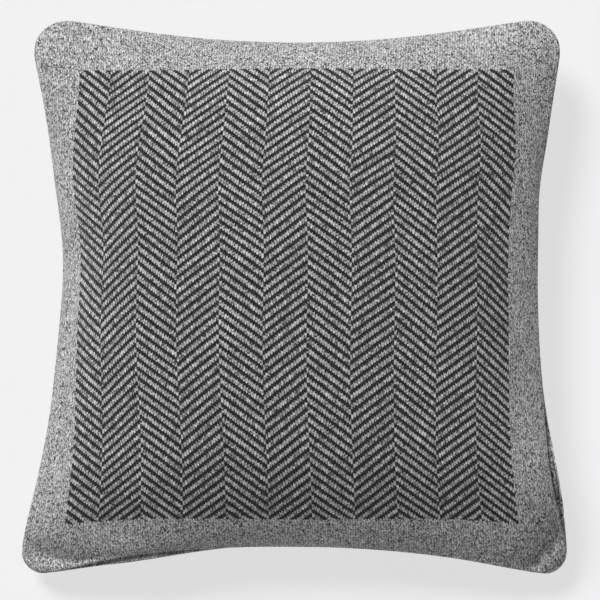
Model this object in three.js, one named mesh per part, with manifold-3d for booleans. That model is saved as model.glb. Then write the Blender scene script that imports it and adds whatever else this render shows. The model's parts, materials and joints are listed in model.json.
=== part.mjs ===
// A square knitted throw pillow, lying on its back: a sewn cover that closes with a concealed
// zip near its lower edge, over a separate stuffed insert.
// Millimetres, +Z up, +X to the pillow's right and +Y to its top edge, seen from the front.
// The origin is on the ground, under the middle of the pillow.

import * as THREE from 'three';
import { mergeVertices } from 'three/addons/utils/BufferGeometryUtils.js';
import Module from 'manifold-3d';

const wasm = await Module();
wasm.setup();

// ---- driving dimensions ----

// The outline. Each side is a shallow inward curve between two corners. Its reach is its
// distance from the middle of the pillow at its ends, lean is how much of that is gained
// towards the far end, and pull is how far the filling draws its middle in.
const LEFT = { reach: 242, lean: -7, pull: 34 };
const RIGHT = { reach: 245, lean: -4, pull: 25 };
const TOP = { reach: 252.5, lean: 0, pull: 25 };
const BOTTOM = { reach: 252.5, lean: 0, pull: 29 };
const CORNER_SHARE = 0.09; // rounded part of a corner, as a share of half a side

// The stuffed form.
const SEAM_HEIGHT = 58; // side seam above the ground
const SEAM_ROLL = 10; // the right seam rolls up by this, and the left one down
const FRONT_CROWN = 84; // front above the seam
const BACK_BELLY = 76; // back below the seam, before the ground flattens it
const EDGE_POWER = 0.55; // how steeply the cloth leaves the seam: 0.5 is a half ellipse
const SEAM_GAP = 0.3; // between the front and back pieces, where they are sewn

// Layers, as depths below the outer face of the cover.
const COVER = { outer: 0, inner: 1.8 };
const ALLOWANCE = { outer: 2.6, inner: 4.0 };
const LABEL = { outer: 2.8, inner: 3.4 };
const TICKING = { outer: 5.0, inner: 5.8 };
const FILL_DEPTH = 6.8;

// The zip lies in one flat strip of the back, parallel to the bottom seam.
const ZIP_Y = -198;
const ZIP_HEIGHT = 28.5;
const ZIP_TILT = THREE.MathUtils.degToRad(26);
const ZIP_STRIP = { y: -195, halfLength: 200, halfWidth: 18 }; // lies in the zip's plane
const ZIP_BLEND = { length: 25, width: 10 }; // from there to the free shape
const ZIP_OPENING_HALF = 182;
const ZIP_LIP_HALF_GAP = 1.2;
const ZIP_INSERT_CLEARANCE = 7.4; // the insert stays this far inside the zip's plane

// Across the zip (y, z are in the zip's own frame, z outward from the cover's outer face).
const TAPE = { halfLength: 190, inner: 1.0, outer: 12, low: -2.8, high: -2.2 };
const COIL = { start: -174, end: 176, inner: 0.75, outer: 2.75, low: -5.1, high: -3.1 };
const STOP_LENGTH = 3.6;
const STOP_GAP = 0.6;
const SLIDER_X = -168.5; // closed
const SLIDER_HALF_LENGTH = 4.6;
const CHANNEL = { clearance: 0.4, wall: 1.0, floor: 1.1 }; // slider round the coils
const POST = { halfLength: 1.4, halfWidth: 0.45 };
const CROWN_PLATE = { halfLength: 4.0, halfWidth: 2.6, low: 0.35, high: 1.1 };
const BAIL = { halfLength: 3.0, halfWidth: 0.6, leg: 1.1, top: 4.1, roof: 0.7 };
const HINGE_HEIGHT = 2.3;
const PULL = { length: 22, halfWidth: 2.7, neck: 2.2, thickness: 1.1, bar: 0.5 };
const PULL_WINDOW = { halfWidth: 1.1, end: 4.4 };
const PULL_HOLE = { halfWidth: 1.2, start: 11, end: 18 };

// The grid that every cloth layer shares: lines crowd towards the seams, where the cloth
// turns fastest, and the rows near the zip are halved.
const GRID_LINES = 16;
const HALVED_ROWS = 5;

// ---- materials ----

function material(color, roughness, metalness = 0) {
  return new THREE.MeshStandardMaterial({ color, roughness, metalness });
}

const MATERIALS = {
  herringbone: material(0x6e6e6e, 0.95),
  marl: material(0x9b9b9b, 0.95),
  thread: material(0xb9b9b6, 0.9),
  satin: material(0xe8e6e0, 0.6),
  ticking: material(0xf0eee8, 0.9),
  fibre: material(0xfbfaf6, 1.0),
  tape: material(0x77787a, 0.9),
  nylon: material(0x5d5e61, 0.45),
  metal: material(0x8a8c90, 0.35, 0.9),
};

// ---- solids ----

function toManifold(geometry) {
  const bare = geometry.clone();
  bare.deleteAttribute('normal');
  bare.deleteAttribute('uv');
  const merged = mergeVertices(bare, 1e-4);
  return new wasm.Manifold(new wasm.Mesh({
    numProp: 3,
    vertProperties: new Float32Array(merged.attributes.position.array),
    triVerts: new Uint32Array(merged.index.array),
  }));
}

function toGeometry(manifold) {
  const mesh = manifold.getMesh();
  const geometry = new THREE.BufferGeometry();
  geometry.setAttribute('position', new THREE.BufferAttribute(mesh.vertProperties, 3));
  geometry.setIndex(new THREE.BufferAttribute(mesh.triVerts, 1));
  return geometry;
}

function joined(geometries) {
  const solids = geometries.map(toManifold);
  return solids.reduce((whole, solid) => whole.add(solid));
}

function block(x, y, z) {
  const geometry = new THREE.BoxGeometry(x[1] - x[0], y[1] - y[0], z[1] - z[0]);
  return geometry.translate((x[0] + x[1]) / 2, (y[0] + y[1]) / 2, (z[0] + z[1]) / 2);
}

function halfSpan(half, centre = 0) {
  return [centre - half, centre + half];
}

// ---- the stuffed form ----

function gridLines(count) {
  const step = Math.PI / count;
  return Array.from({ length: count + 1 }, (_, k) => Math.sin(k * step - Math.PI / 2));
}

function halveFirst(lines, count) {
  const halved = lines.slice(0, count).flatMap((line, k) => [line, (line + lines[k + 1]) / 2]);
  return [...halved, ...lines.slice(count)];
}

const COLUMNS = gridLines(GRID_LINES);
const ROWS = halveFirst(COLUMNS, HALVED_ROWS);

function sideReach(side, along) {
  return side.reach + side.lean * along - side.pull * (1 - along * along);
}

// Turns the square corner of the (u, v) grid into a quarter of a disc.
function roundCorner(u, v) {
  const start = 1 - CORNER_SHARE;
  const a = (Math.abs(u) - start) / CORNER_SHARE;
  const b = (Math.abs(v) - start) / CORNER_SHARE;
  if (a <= 0 || b <= 0) return [u, v];
  return [
    Math.sign(u) * (start + CORNER_SHARE * a * Math.sqrt(1 - (b * b) / 2)),
    Math.sign(v) * (start + CORNER_SHARE * b * Math.sqrt(1 - (a * a) / 2)),
  ];
}

// Where a point of the cloth is, seen from above. u and v run from -1 to 1, seam to seam.
function plan(u, v, depth) {
  const [s, t] = roundCorner(u, v);
  const x = s * (sideReach(s < 0 ? LEFT : RIGHT, t) - depth);
  const y = t * (sideReach(t < 0 ? BOTTOM : TOP, s) - depth);
  return [x, y];
}

function fullness(u, v) {
  return ((1 - u * u) * (1 - v * v)) ** EDGE_POWER;
}

function seamHeight(u, v) {
  return SEAM_HEIGHT + SEAM_ROLL * u * (1 - v * v);
}

function frontPoint(u, v, depth) {
  const [x, y] = plan(u, v, depth);
  const z = seamHeight(u, v) + SEAM_GAP / 2 + (FRONT_CROWN - depth) * fullness(u, v);
  return new THREE.Vector3(x, y, z);
}

// The back below the seam, flat where it rests on the ground.
function restedHeight(u, v, depth) {
  const free = seamHeight(u, v) - SEAM_GAP / 2 - (BACK_BELLY - depth) * fullness(u, v);
  return Math.max(free, depth);
}

// The height of a plane that is this far inside the zip's plane.
function zipPlaneHeight(y, inside) {
  return ZIP_HEIGHT - (y - ZIP_Y) * Math.tan(ZIP_TILT) + inside / Math.cos(ZIP_TILT);
}

function window1d(distance, flat, blend) {
  return 1 - THREE.MathUtils.smoothstep(Math.abs(distance), flat, flat + blend);
}

function coverBackPoint(u, v, depth) {
  const [x, y] = plan(u, v, depth);
  const weight = window1d(x, ZIP_STRIP.halfLength, ZIP_BLEND.length)
    * window1d(y - ZIP_STRIP.y, ZIP_STRIP.halfWidth, ZIP_BLEND.width);
  const rested = restedHeight(u, v, depth);
  return new THREE.Vector3(x, y, THREE.MathUtils.lerp(rested, zipPlaneHeight(y, depth), weight));
}

function insertBackPoint(u, v, depth) {
  const [x, y] = plan(u, v, depth);
  const weight = window1d(x, ZIP_STRIP.halfLength, ZIP_BLEND.length);
  const rested = restedHeight(u, v, depth);
  const inside = ZIP_INSERT_CLEARANCE + depth - TICKING.outer;
  const cleared = Math.max(rested, zipPlaneHeight(y, inside));
  return new THREE.Vector3(x, y, THREE.MathUtils.lerp(rested, cleared, weight));
}

// ---- solids between two layers of the grid ----

function quad(triangles, a, b, c, d) {
  triangles.push(a, b, c, a, c, d);
}

// The solid between an upper and a lower point for each grid node, over the chosen cells.
function slab(upper, lower, isChosen) {
  const high = COLUMNS.map((u) => ROWS.map((v) => upper(u, v)));
  const low = COLUMNS.map((u) => ROWS.map((v) => lower(u, v)));
  const chosen = (i, j) => i >= 0 && j >= 0 && i < COLUMNS.length - 1 && j < ROWS.length - 1
    && isChosen(i, j);
  const triangles = [];
  for (let i = 0; i < COLUMNS.length - 1; i += 1) {
    for (let j = 0; j < ROWS.length - 1; j += 1) {
      if (!chosen(i, j)) continue;
      const ring = [[i, j], [i + 1, j], [i + 1, j + 1], [i, j + 1]];
      const neighbours = [[i, j - 1], [i + 1, j], [i, j + 1], [i - 1, j]];
      const [a, b, c, d] = ring.map(([m, n]) => high[m][n]);
      const [e, f, g, h] = ring.map(([m, n]) => low[m][n]);
      quad(triangles, a, b, c, d);
      triangles.push(e, g, f, e, h, g);
      neighbours.forEach(([m, n], k) => {
        if (chosen(m, n)) return;
        const [p, q] = [ring[k], ring[(k + 1) % ring.length]];
        quad(triangles, high[p[0]][p[1]], low[p[0]][p[1]], low[q[0]][q[1]], high[q[0]][q[1]]);
      });
    }
  }
  return mergeVertices(new THREE.BufferGeometry().setFromPoints(triangles), 1e-4);
}

function frontLayer({ outer, inner }, isChosen = () => true) {
  return slab((u, v) => frontPoint(u, v, outer), (u, v) => frontPoint(u, v, inner), isChosen);
}

function backLayer({ outer, inner }, point, isChosen = () => true) {
  return slab((u, v) => point(u, v, inner), (u, v) => point(u, v, outer), isChosen);
}

function fillBody() {
  return slab(
    (u, v) => frontPoint(u, v, FILL_DEPTH),
    (u, v) => insertBackPoint(u, v, FILL_DEPTH),
    () => true,
  );
}

// The overlocked seam allowance: one ring of cells, turned up against the front.
function seamAllowance() {
  const lastColumn = COLUMNS.length - 2;
  const lastRow = ROWS.length - 2;
  const firstRow = 2; // the outermost row of cells is two halved ones here
  const within = (i, j, edge) => i >= edge && i <= lastColumn - edge
    && j >= firstRow * edge && j <= lastRow - edge;
  return frontLayer(ALLOWANCE, (i, j) => within(i, j, 1) && !within(i, j, 2));
}

// A blank label of one cell, sewn in near the left seam.
function careLabel() {
  const column = 3;
  const row = GRID_LINES / 2 + HALVED_ROWS - 2;
  return backLayer(LABEL, coverBackPoint, (i, j) => i === column && j === row);
}

// ---- the zip, in its own frame ----

const zipFrame = new THREE.Matrix4()
  .makeRotationX(Math.PI - ZIP_TILT)
  .setPosition(0, ZIP_Y, ZIP_HEIGHT);

function backPieces() {
  const far = 600;
  const span = halfSpan(far);
  const shell = toManifold(backLayer(COVER, coverBackPoint));
  const main = toManifold(block(span, [-far, -SEAM_GAP / 2], span).applyMatrix4(zipFrame));
  const strip = toManifold(block(span, [SEAM_GAP / 2, far], span).applyMatrix4(zipFrame));
  const slot = block(halfSpan(ZIP_OPENING_HALF), halfSpan(ZIP_LIP_HALF_GAP), halfSpan(20));
  const opening = toManifold(slot.applyMatrix4(zipFrame));
  return {
    main: toGeometry(shell.intersect(main).subtract(opening)),
    strip: toGeometry(shell.intersect(strip).subtract(opening)),
  };
}

function mirrored(span, side) {
  return side > 0 ? span : [-span[1], -span[0]];
}

function tape(side) {
  return block(
    halfSpan(TAPE.halfLength),
    mirrored([TAPE.inner, TAPE.outer], side),
    [TAPE.low, TAPE.high],
  );
}

// One side's coil: an oval bar, as wide as the wound nylon.
function coil(side) {
  const width = COIL.outer - COIL.inner;
  const height = COIL.high - COIL.low;
  const oval = new THREE.Shape();
  oval.absellipse(0, 0, height / 2, width / 2, 0, Math.PI * 2);
  const bar = new THREE.ExtrudeGeometry(oval, {
    depth: COIL.end - COIL.start, bevelEnabled: false, curveSegments: 5,
  });
  bar.rotateY(Math.PI / 2);
  return bar.translate(COIL.start, side * (COIL.inner + width / 2), (COIL.low + COIL.high) / 2);
}

function topStop(side) {
  const end = COIL.start - STOP_GAP;
  return block([end - STOP_LENGTH, end], mirrored([COIL.inner, COIL.outer], side),
    [COIL.low, COIL.high]);
}

function bottomStop() {
  const start = COIL.end + STOP_GAP;
  return block([start, start + STOP_LENGTH], halfSpan(COIL.outer), [COIL.low, COIL.high]);
}

// The loop on the slider's face that the pull swings in.
function bail() {
  const { halfLength, halfWidth, leg, top, roof } = BAIL;
  const base = CROWN_PLATE.high - 0.2; // sunk into the plate, so that they join
  const corner = 1.2;
  const arch = new THREE.Shape();
  arch.moveTo(-halfLength, base);
  arch.lineTo(halfLength, base);
  arch.lineTo(halfLength, top - corner);
  arch.absarc(halfLength - corner, top - corner, corner, 0, Math.PI / 2);
  arch.lineTo(-halfLength + corner, top);
  arch.absarc(-halfLength + corner, top - corner, corner, Math.PI / 2, Math.PI);
  const window = new THREE.Path();
  window.moveTo(-halfLength + leg, CROWN_PLATE.high);
  window.lineTo(-halfLength + leg, top - roof);
  window.lineTo(halfLength - leg, top - roof);
  window.lineTo(halfLength - leg, CROWN_PLATE.high);
  arch.holes.push(window);
  const geometry = new THREE.ExtrudeGeometry(arch, {
    depth: 2 * halfWidth, bevelEnabled: false, curveSegments: 4,
  });
  return geometry.rotateX(Math.PI / 2).translate(0, halfWidth, 0);
}

// The slider at x = 0: a channel round both coils, a post through the slit, and the bail.
function slider() {
  const length = halfSpan(SLIDER_HALF_LENGTH);
  const inside = COIL.outer + CHANNEL.clearance;
  const outside = inside + CHANNEL.wall;
  const floorTop = COIL.low - CHANNEL.clearance;
  const floor = [floorTop - CHANNEL.floor, floorTop];
  const wall = [floorTop - CHANNEL.floor, TAPE.low - CHANNEL.clearance];
  const postHeight = [floorTop - CHANNEL.floor / 2, CROWN_PLATE.low + 0.2];
  return toGeometry(joined([
    block(length, halfSpan(outside), floor),
    block(length, mirrored([inside, outside], 1), wall),
    block(length, mirrored([inside, outside], -1), wall),
    block(halfSpan(POST.halfLength), halfSpan(POST.halfWidth), postHeight),
    block(halfSpan(CROWN_PLATE.halfLength), halfSpan(CROWN_PLATE.halfWidth),
      [CROWN_PLATE.low, CROWN_PLATE.high]),
    bail(),
  ]));
}

function slot(halfWidth, start, end) {
  const path = new THREE.Path();
  path.moveTo(-halfWidth, start);
  path.lineTo(-halfWidth, end);
  path.lineTo(halfWidth, end);
  path.lineTo(halfWidth, start);
  return path;
}

// The pull, hanging straight out from its hinge at the origin.
function pull() {
  const { length, halfWidth, neck, thickness, bar } = PULL;
  const plate = new THREE.Shape();
  plate.moveTo(-neck, -bar);
  plate.lineTo(neck, -bar);
  plate.lineTo(neck, PULL_WINDOW.end);
  plate.lineTo(halfWidth, PULL_WINDOW.end + 2 * (halfWidth - neck));
  plate.lineTo(halfWidth, length - halfWidth);
  plate.absarc(0, length - halfWidth, halfWidth, 0, Math.PI);
  plate.lineTo(-halfWidth, PULL_WINDOW.end + 2 * (halfWidth - neck));
  plate.lineTo(-neck, PULL_WINDOW.end);
  plate.holes.push(slot(PULL_WINDOW.halfWidth, bar, PULL_WINDOW.end));
  plate.holes.push(slot(PULL_HOLE.halfWidth, PULL_HOLE.start, PULL_HOLE.end));
  const geometry = new THREE.ExtrudeGeometry(plate, {
    depth: thickness, bevelEnabled: false, curveSegments: 10,
  });
  const axes = new THREE.Matrix4().makeBasis(
    new THREE.Vector3(0, 1, 0),
    new THREE.Vector3(0, 0, 1),
    new THREE.Vector3(1, 0, 0),
  );
  return geometry.applyMatrix4(axes).translate(-thickness / 2, 0, 0);
}

// ---- assembly ----

function part(name, geometry, look) {
  geometry.computeVertexNormals();
  const mesh = new THREE.Mesh(geometry, look.clone());
  mesh.name = name;
  return mesh;
}

function zip() {
  const group = new THREE.Group();
  const carriage = new THREE.Group();
  const swing = part('zip_pull', pull(), MATERIALS.metal);
  swing.position.z = HINGE_HEIGHT;
  carriage.add(part('zip_slider', slider(), MATERIALS.metal), swing);
  carriage.position.x = SLIDER_X;
  group.add(
    part('zip_tape_upper', tape(-1), MATERIALS.tape),
    part('zip_tape_lower', tape(1), MATERIALS.tape),
    part('zip_coil_upper', coil(-1), MATERIALS.nylon),
    part('zip_coil_lower', coil(1), MATERIALS.nylon),
    part('zip_top_stop_upper', topStop(-1), MATERIALS.metal),
    part('zip_top_stop_lower', topStop(1), MATERIALS.metal),
    part('zip_bottom_stop', bottomStop(), MATERIALS.metal),
    carriage,
  );
  group.applyMatrix4(zipFrame);
  return group;
}

function cover() {
  const back = backPieces();
  const group = new THREE.Group();
  group.add(
    part('cover_front', frontLayer(COVER), MATERIALS.herringbone),
    part('cover_back', back.main, MATERIALS.marl),
    part('cover_back_strip', back.strip, MATERIALS.marl),
    part('seam_allowance', seamAllowance(), MATERIALS.thread),
    part('care_label', careLabel(), MATERIALS.satin),
  );
  return group;
}

function insert() {
  const group = new THREE.Group();
  group.add(
    part('insert_front', frontLayer(TICKING), MATERIALS.ticking),
    part('insert_back', backLayer(TICKING, insertBackPoint), MATERIALS.ticking),
    part('insert_fill', fillBody(), MATERIALS.fibre),
  );
  return group;
}

const pillow = new THREE.Group();
pillow.add(cover(), zip(), insert());

export default pillow;
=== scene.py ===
import json
import math

import bpy
import numpy as np
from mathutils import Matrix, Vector


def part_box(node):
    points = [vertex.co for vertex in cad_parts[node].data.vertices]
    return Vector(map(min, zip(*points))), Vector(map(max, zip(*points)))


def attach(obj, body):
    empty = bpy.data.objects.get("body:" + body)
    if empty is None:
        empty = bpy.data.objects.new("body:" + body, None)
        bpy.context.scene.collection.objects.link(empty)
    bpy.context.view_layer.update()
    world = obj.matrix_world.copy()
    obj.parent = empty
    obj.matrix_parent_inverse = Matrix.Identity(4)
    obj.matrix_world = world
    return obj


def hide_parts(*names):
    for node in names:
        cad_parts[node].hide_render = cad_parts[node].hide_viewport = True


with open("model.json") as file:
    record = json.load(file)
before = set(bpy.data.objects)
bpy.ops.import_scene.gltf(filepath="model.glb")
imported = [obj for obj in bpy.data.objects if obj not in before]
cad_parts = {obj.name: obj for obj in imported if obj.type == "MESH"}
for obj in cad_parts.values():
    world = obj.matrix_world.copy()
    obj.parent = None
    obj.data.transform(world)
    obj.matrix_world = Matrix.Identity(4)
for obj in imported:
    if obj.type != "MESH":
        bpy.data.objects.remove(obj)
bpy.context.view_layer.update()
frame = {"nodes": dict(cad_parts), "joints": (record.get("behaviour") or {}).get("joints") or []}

# A knitted throw pillow, lying on its back. The cover is inflated from its flat cut by cloth
# simulation, drawn to the frame's outline and heights, and then meshed stitch by stitch.
# Lengths are in metres. (x, y) of the flat cut are called cut coordinates, and (u, v) are the
# same two from -1 to 1, seam to seam.

# ---- the flat cut and its knit ----

CUT = 0.508
HALF = CUT / 2
CORNER_RADIUS = 0.024
WALE = 0.0023  # width of a stitch
COURSE = 0.00171  # height of a stitch
FIELD_WALES = (-91, 91)  # the herringbone field, in stitches from the middle
FIELD_COURSES = (-120, 120)
FIRST_TURN = 14  # stitches from the field's left edge to the first turn of the zigzag
TURN = 17  # stitches between turns
REPEAT = 5  # courses in one dark and one light stripe
DARK_COURSES = 2
PHASE = 0.25  # keeps the stripes' edges between stitches
STRIPE_SHADE_SPREAD = 0.5  # how much wider than its stitches a dark stripe looks, in courses: painted shade on the flanks of the light stitches beside it, in the dark yarn's colour
V_DEPTH = 0.7  # how far a stitch's legs rise, in courses

# ---- the stuffed form, as in the frame ----

# Each side of the outline: its reach from the middle, how it leans, how far its middle is pulled
# in, how far it swells halfway to the corners, and the ears beside them. A dent is how deep,
# where along the side (-1 to 1), and how wide.
NO_DENT = (0.0, 0.0, 1.0)
LEFT = {"reach": 0.240, "lean": -0.0065, "pull": 0.033, "swell": 0.0025, "ear": 0.0065,
        "dent": (0.0034, 0.15, 0.24)}
RIGHT = {"reach": 0.245, "lean": -0.004, "pull": 0.025, "swell": 0.0025, "ear": 0.0045,
         "dent": (0.0035, 0.40, 0.15)}
TOP = {"reach": 0.2525, "lean": 0.0, "pull": 0.027, "swell": 0.0030, "ear": 0.0020,
       "dent": NO_DENT}
BOTTOM = {"reach": 0.2530, "lean": 0.0, "pull": 0.0305, "swell": 0.0020, "ear": 0.0035,
          "dent": NO_DENT}
SWELL_PEAK = 4  # these two bring the curves of a swell and of an ear to 1 at their tops
EAR_PEAK = 9.5
SEAM_HEIGHT = 0.058
TOP_CORNER_DROP = 0.006  # how far the corners hang below the seam's height
BOTTOM_CORNER_DROP = 0.032
BOTTOM_DROP = 0.011  # how far the whole bottom seam hangs, from this v down
BOTTOM_DROP_FROM = -0.55
CROWN = 0.084  # the middle's height over the seam, in front
BELLY = 0.076  # and its depth under the seam, behind
CROWN_SHIFT = (-0.0114, 0.0083)  # the stuffing has moved the middle to the left and up
CROWN_LEAN = 0.12  # how far the fullest part has moved towards the top
CLOTH_SHARE = 0.35  # of the simulated cloth in the form; the rest is the frame's
EDGE_POWER = 0.55  # how steeply the form rises from its seam
CLOTH_PUFF = 0.0010  # how far the cloth puffs out past the frame's outline
TOP_CORNER_SHARE = 0.15  # the stuffed corners' radius, as a share of half a side
BOTTOM_CORNER_SHARE = 0.09
REST_BLEND = 0.008  # how softly the underside meets the floor

# ---- rolled seams: the cover twists on its insert, so the seam isn't always at its edge ----

SEAM_ROLL = 0.010  # how far a fully rolled seam rises
SEAM_ROLL_WIDTH = 0.030
SEAM_ROLL_INWARD = 0.0035  # and how far it moves inward
ROLL_BULGE = 0.008  # how far the cloth passes a seam that has rolled away from it
ROLL_WIDTH = 0.010
WELT_LIFT = 0.0130  # how far the back's cloth is lifted beside a seam that has rolled forward
WELT_FADE = 1.6  # how soon that fades towards the corners, where the form is too thin for it
SEAM_INSET = 1.15  # an inner layer's seam lies this much further in than the layer is deep
# The roll all along a side, the most that is added to it, where on the side, and how wide.
RIGHT_ROLL = (0.2, 1.1, -0.66, 0.22)
BOTTOM_ROLL = (-0.15, 1.1, -0.60, 0.30)
LEFT_ROLL = -0.35
TOP_ROLL = -0.3

# ---- how the stuffing moves the knit ----

DRIFT = 0.0006  # how far rows and wales wander
SWAY = 0.0024  # how far the knit's upper half has been pushed to the left
# Where the stuffing stretches (or gathers) the knit sideways: which half, how much, at which v,
# and over what width.
STRETCHES = [(1, 0.066, 0.47, 0.22), (-1, 0.047, 0.42, 0.19), (-1, -0.035, 0.80, 0.14)]
STRETCH_POWER = 12
LEFT_WRAP = 0.10  # how far the left border is drawn round the side
ACROSS = {"amount": 0.174, "power": 3.9, "fade": 3.1}  # how the cut is spread over the form
ALONG = {"amount": 0.120, "power": 10.5, "fade": 2.2}

# ---- the layers' depths below the cover's outer face: each one's outer and inner side ----

COVER_THICKNESS = 0.0018
ALLOWANCE = (0.0026, 0.0040)
LABEL = (0.0028, 0.0032)
TICKING = (0.0050, 0.0058)
FILL_DEPTH = 0.0068


# ---- small tools ----

def smoothstep(low, high, x):
    """0 up to low, 1 from high, and smooth between them."""
    t = np.clip((x - low) / (high - low), 0, 1)
    return t * t * (3 - 2 * t)


def bump(x, width):
    """A bell curve, 1 at x = 0."""
    return np.exp(-(x / width) ** 2)


def grid_of(first, second):
    return np.meshgrid(first, second, indexing="ij")


def soft_max(a, blend):
    """The greater of a and 0, rounded over blend to each side."""
    h = np.clip(0.5 + 0.5 * a / blend, 0, 1)
    return a * h + blend * h * (1 - h)


def unit(vectors):
    return vectors / np.maximum(np.linalg.norm(vectors, axis=-1, keepdims=True), 1e-12)


def round_corners(u, v, share=CORNER_RADIUS / HALF):
    """Turns the square corner of the (u, v) grid into a quarter disc."""
    a = np.clip((np.abs(u) - 1 + share) / share, 0, 1)
    b = np.clip((np.abs(v) - 1 + share) / share, 0, 1)
    corner = (a > 0) & (b > 0)
    s = np.where(corner, np.sign(u) * (1 - share + share * a * np.sqrt(1 - b * b / 2)), u)
    t = np.where(corner, np.sign(v) * (1 - share + share * b * np.sqrt(1 - a * a / 2)), v)
    return s, t


def corner_share(v):
    """The stuffed corner's radius, which differs between the top and the bottom."""
    return np.where(v > 0, TOP_CORNER_SHARE, BOTTOM_CORNER_SHARE)


def seam_distance(u, v, share=CORNER_RADIUS / HALF):
    """The distance across the flat cut from the seam."""
    s, t = round_corners(u, v, share)
    qx, qy = np.abs(s) - 1 + share, np.abs(t) - 1 + share
    outside = np.hypot(np.maximum(qx, 0), np.maximum(qy, 0))
    return HALF * (share - outside - np.minimum(np.maximum(qx, qy), 0))


# ---- cloth simulation: the empty cover, blown up until it is as thick as the stuffed one ----

SIM_CELLS = 64
SIM_FRAMES = 14
SIM_START = 0.012  # half the thickness that the cloth starts from
SIM_THICKNESS = 0.150  # the thickness that stops it
SMOOTHING = 12
CLOTH_SETTINGS = {
    "quality": 6,
    "mass": 0.3,
    "tension_stiffness": 15,
    "compression_stiffness": 15,
    "shear_stiffness": 5,
    "bending_stiffness": 0.5,
    "air_damping": 2,
    "use_pressure": True,
    "uniform_pressure_force": 6,
}


def flat_cover():
    """(points, faces, front, back) of the empty cover; the last two number the points."""
    lines = np.linspace(-1, 1, SIM_CELLS + 1)
    u, v = grid_of(lines, lines)
    s, t = round_corners(u, v)
    start = SIM_START * np.sqrt((1 - u * u) * (1 - v * v))
    flat = np.stack([s * HALF, t * HALF, start], -1)
    front = np.arange(flat[..., 0].size).reshape(u.shape)
    inner = np.zeros(u.shape, bool)
    inner[1:-1, 1:-1] = True
    back = front.copy()
    back[inner] = front.size + np.arange(inner.sum())
    points = np.concatenate([flat.reshape(-1, 3), (flat * [1, 1, -1])[inner]])
    faces = np.concatenate([grid_faces(front), grid_faces(back)[:, ::-1]])
    return points, faces, front, back


def add_cloth(cover):
    cloth = cover.modifiers.new("cloth", "CLOTH")
    for name, value in CLOTH_SETTINGS.items():
        setattr(cloth.settings, name, value)
    cloth.settings.effector_weights.gravity = 0
    cloth.collision_settings.use_collision = False
    cloth.point_cache.frame_end = SIM_FRAMES


def simulated_points(cover, count):
    """Steps the cloth until the cover is thick enough, and gives its points."""
    scene = bpy.context.scene
    scene.frame_start, scene.frame_end = 1, SIM_FRAMES
    for number in range(1, SIM_FRAMES + 1):
        scene.frame_set(number)
        shown = cover.evaluated_get(bpy.context.evaluated_depsgraph_get())
        now = np.zeros(count * 3, np.float32)
        shown.data.vertices.foreach_get("co", now)
        now = now.reshape(-1, 3).astype(float)
        if np.ptp(now[:, 2]) > SIM_THICKNESS:
            break
    return now


def inflate():
    """(front, back), each an array of points over the (u, v) grid."""
    points, faces, front, back = flat_cover()
    cover = add_mesh("sim", points, faces.tolist())
    add_cloth(cover)
    now = simulated_points(cover, len(points))
    bpy.data.meshes.remove(cover.data)
    bpy.context.scene.frame_set(1)
    return now[front], now[back]


def grid_faces(index):
    """The quads of a grid of point numbers, facing up where x and y grow with its axes."""
    corners = [index[:-1, :-1], index[1:, :-1], index[1:, 1:], index[:-1, 1:]]
    return np.stack(corners, -1).reshape(-1, 4)


def smoothed(heights, rounds):
    """Evens out the small ripples inside the grid; the edges stay."""
    heights = heights.copy()
    for _ in range(rounds):
        around = (heights[:-2, 1:-1] + heights[2:, 1:-1]
                  + heights[1:-1, :-2] + heights[1:-1, 2:]) / 4
        heights[1:-1, 1:-1] += 0.5 * (around - heights[1:-1, 1:-1])
    return heights


def sample(grid, u, v):
    """The grid's value at any (u, v), by bicubic interpolation."""
    padded = np.pad(grid, 1, mode="reflect", reflect_type="odd")
    first_u, cubic_u = cubic_weights(u, grid.shape[0] - 1)
    first_v, cubic_v = cubic_weights(v, grid.shape[1] - 1)
    total = np.zeros(u.shape)
    for i in range(4):
        for j in range(4):
            total += cubic_u[i] * cubic_v[j] * padded[first_u + i, first_v + j]
    return total


def cubic_weights(w, cells):
    """The first of the four cells round each place, and their Catmull-Rom weights."""
    place = np.clip((w + 1) / 2 * cells, 0, cells)
    first = np.clip(np.floor(place).astype(int), 0, cells - 1)
    t = place - first
    return first, [
        ((-t + 2) * t - 1) * t / 2,
        ((3 * t - 5) * t * t + 2) / 2,
        ((-3 * t + 4) * t + 1) * t / 2,
        (t - 1) * t * t / 2,
    ]


# ---- the simulated cover, drawn to the frame's outline and heights ----

def side_reach(side, along):
    """How far a side of the stuffed cover lies from the middle, at a place along it."""
    square = along * along
    middle = 1 - square
    swell = side["swell"] * SWELL_PEAK * square * middle
    swell = swell + side["ear"] * EAR_PEAK * square ** 3 * middle
    dent, at, width = side["dent"]
    swell -= dent * bump(along - at, width)
    return side["reach"] + side["lean"] * along - side["pull"] * middle + swell + CLOTH_PUFF


def spread(way, place, other):
    """Where a point of the cut lies between the seams, seen from above."""
    amount = way["amount"] * (1 - other * other) ** way["fade"]
    return place * (1 + amount) - amount * np.sign(place) * np.abs(place) ** way["power"]


def spread_across(u, v):
    """The cut's u on the form, with what the stuffing does to the knit at the shoulders."""
    stretch = sum(amount * bump(v - at, width) * (u * half > 0)
                  for half, amount, at, width in STRETCHES)
    wide = u - np.sign(u) * np.abs(u) ** STRETCH_POWER
    wrap = LEFT_WRAP * (1 - v * v) * np.where(u < 0, u ** 6 * (1 - u ** 4), 0)
    return spread(ACROSS, u, v) + stretch * wide - wrap


def local_roll(roll, along):
    everywhere, most, at, width = roll
    return everywhere + most * bump(along - at, width)


def seam_roll(u, v):
    """How far the seam has rolled to the front (1) or to the back (-1) at a point."""
    right = smoothstep(0, 1, u) * local_roll(RIGHT_ROLL, v) * (1 - v ** 8)
    left = LEFT_ROLL * smoothstep(0, 1, -u) * (1 - v ** 4)
    bottom = smoothstep(0, 1, -v) * local_roll(BOTTOM_ROLL, u) * (1 - u ** 8)
    top = TOP_ROLL * smoothstep(0, 1, v) * (1 - u ** 4)
    return right + left + bottom + top


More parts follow.
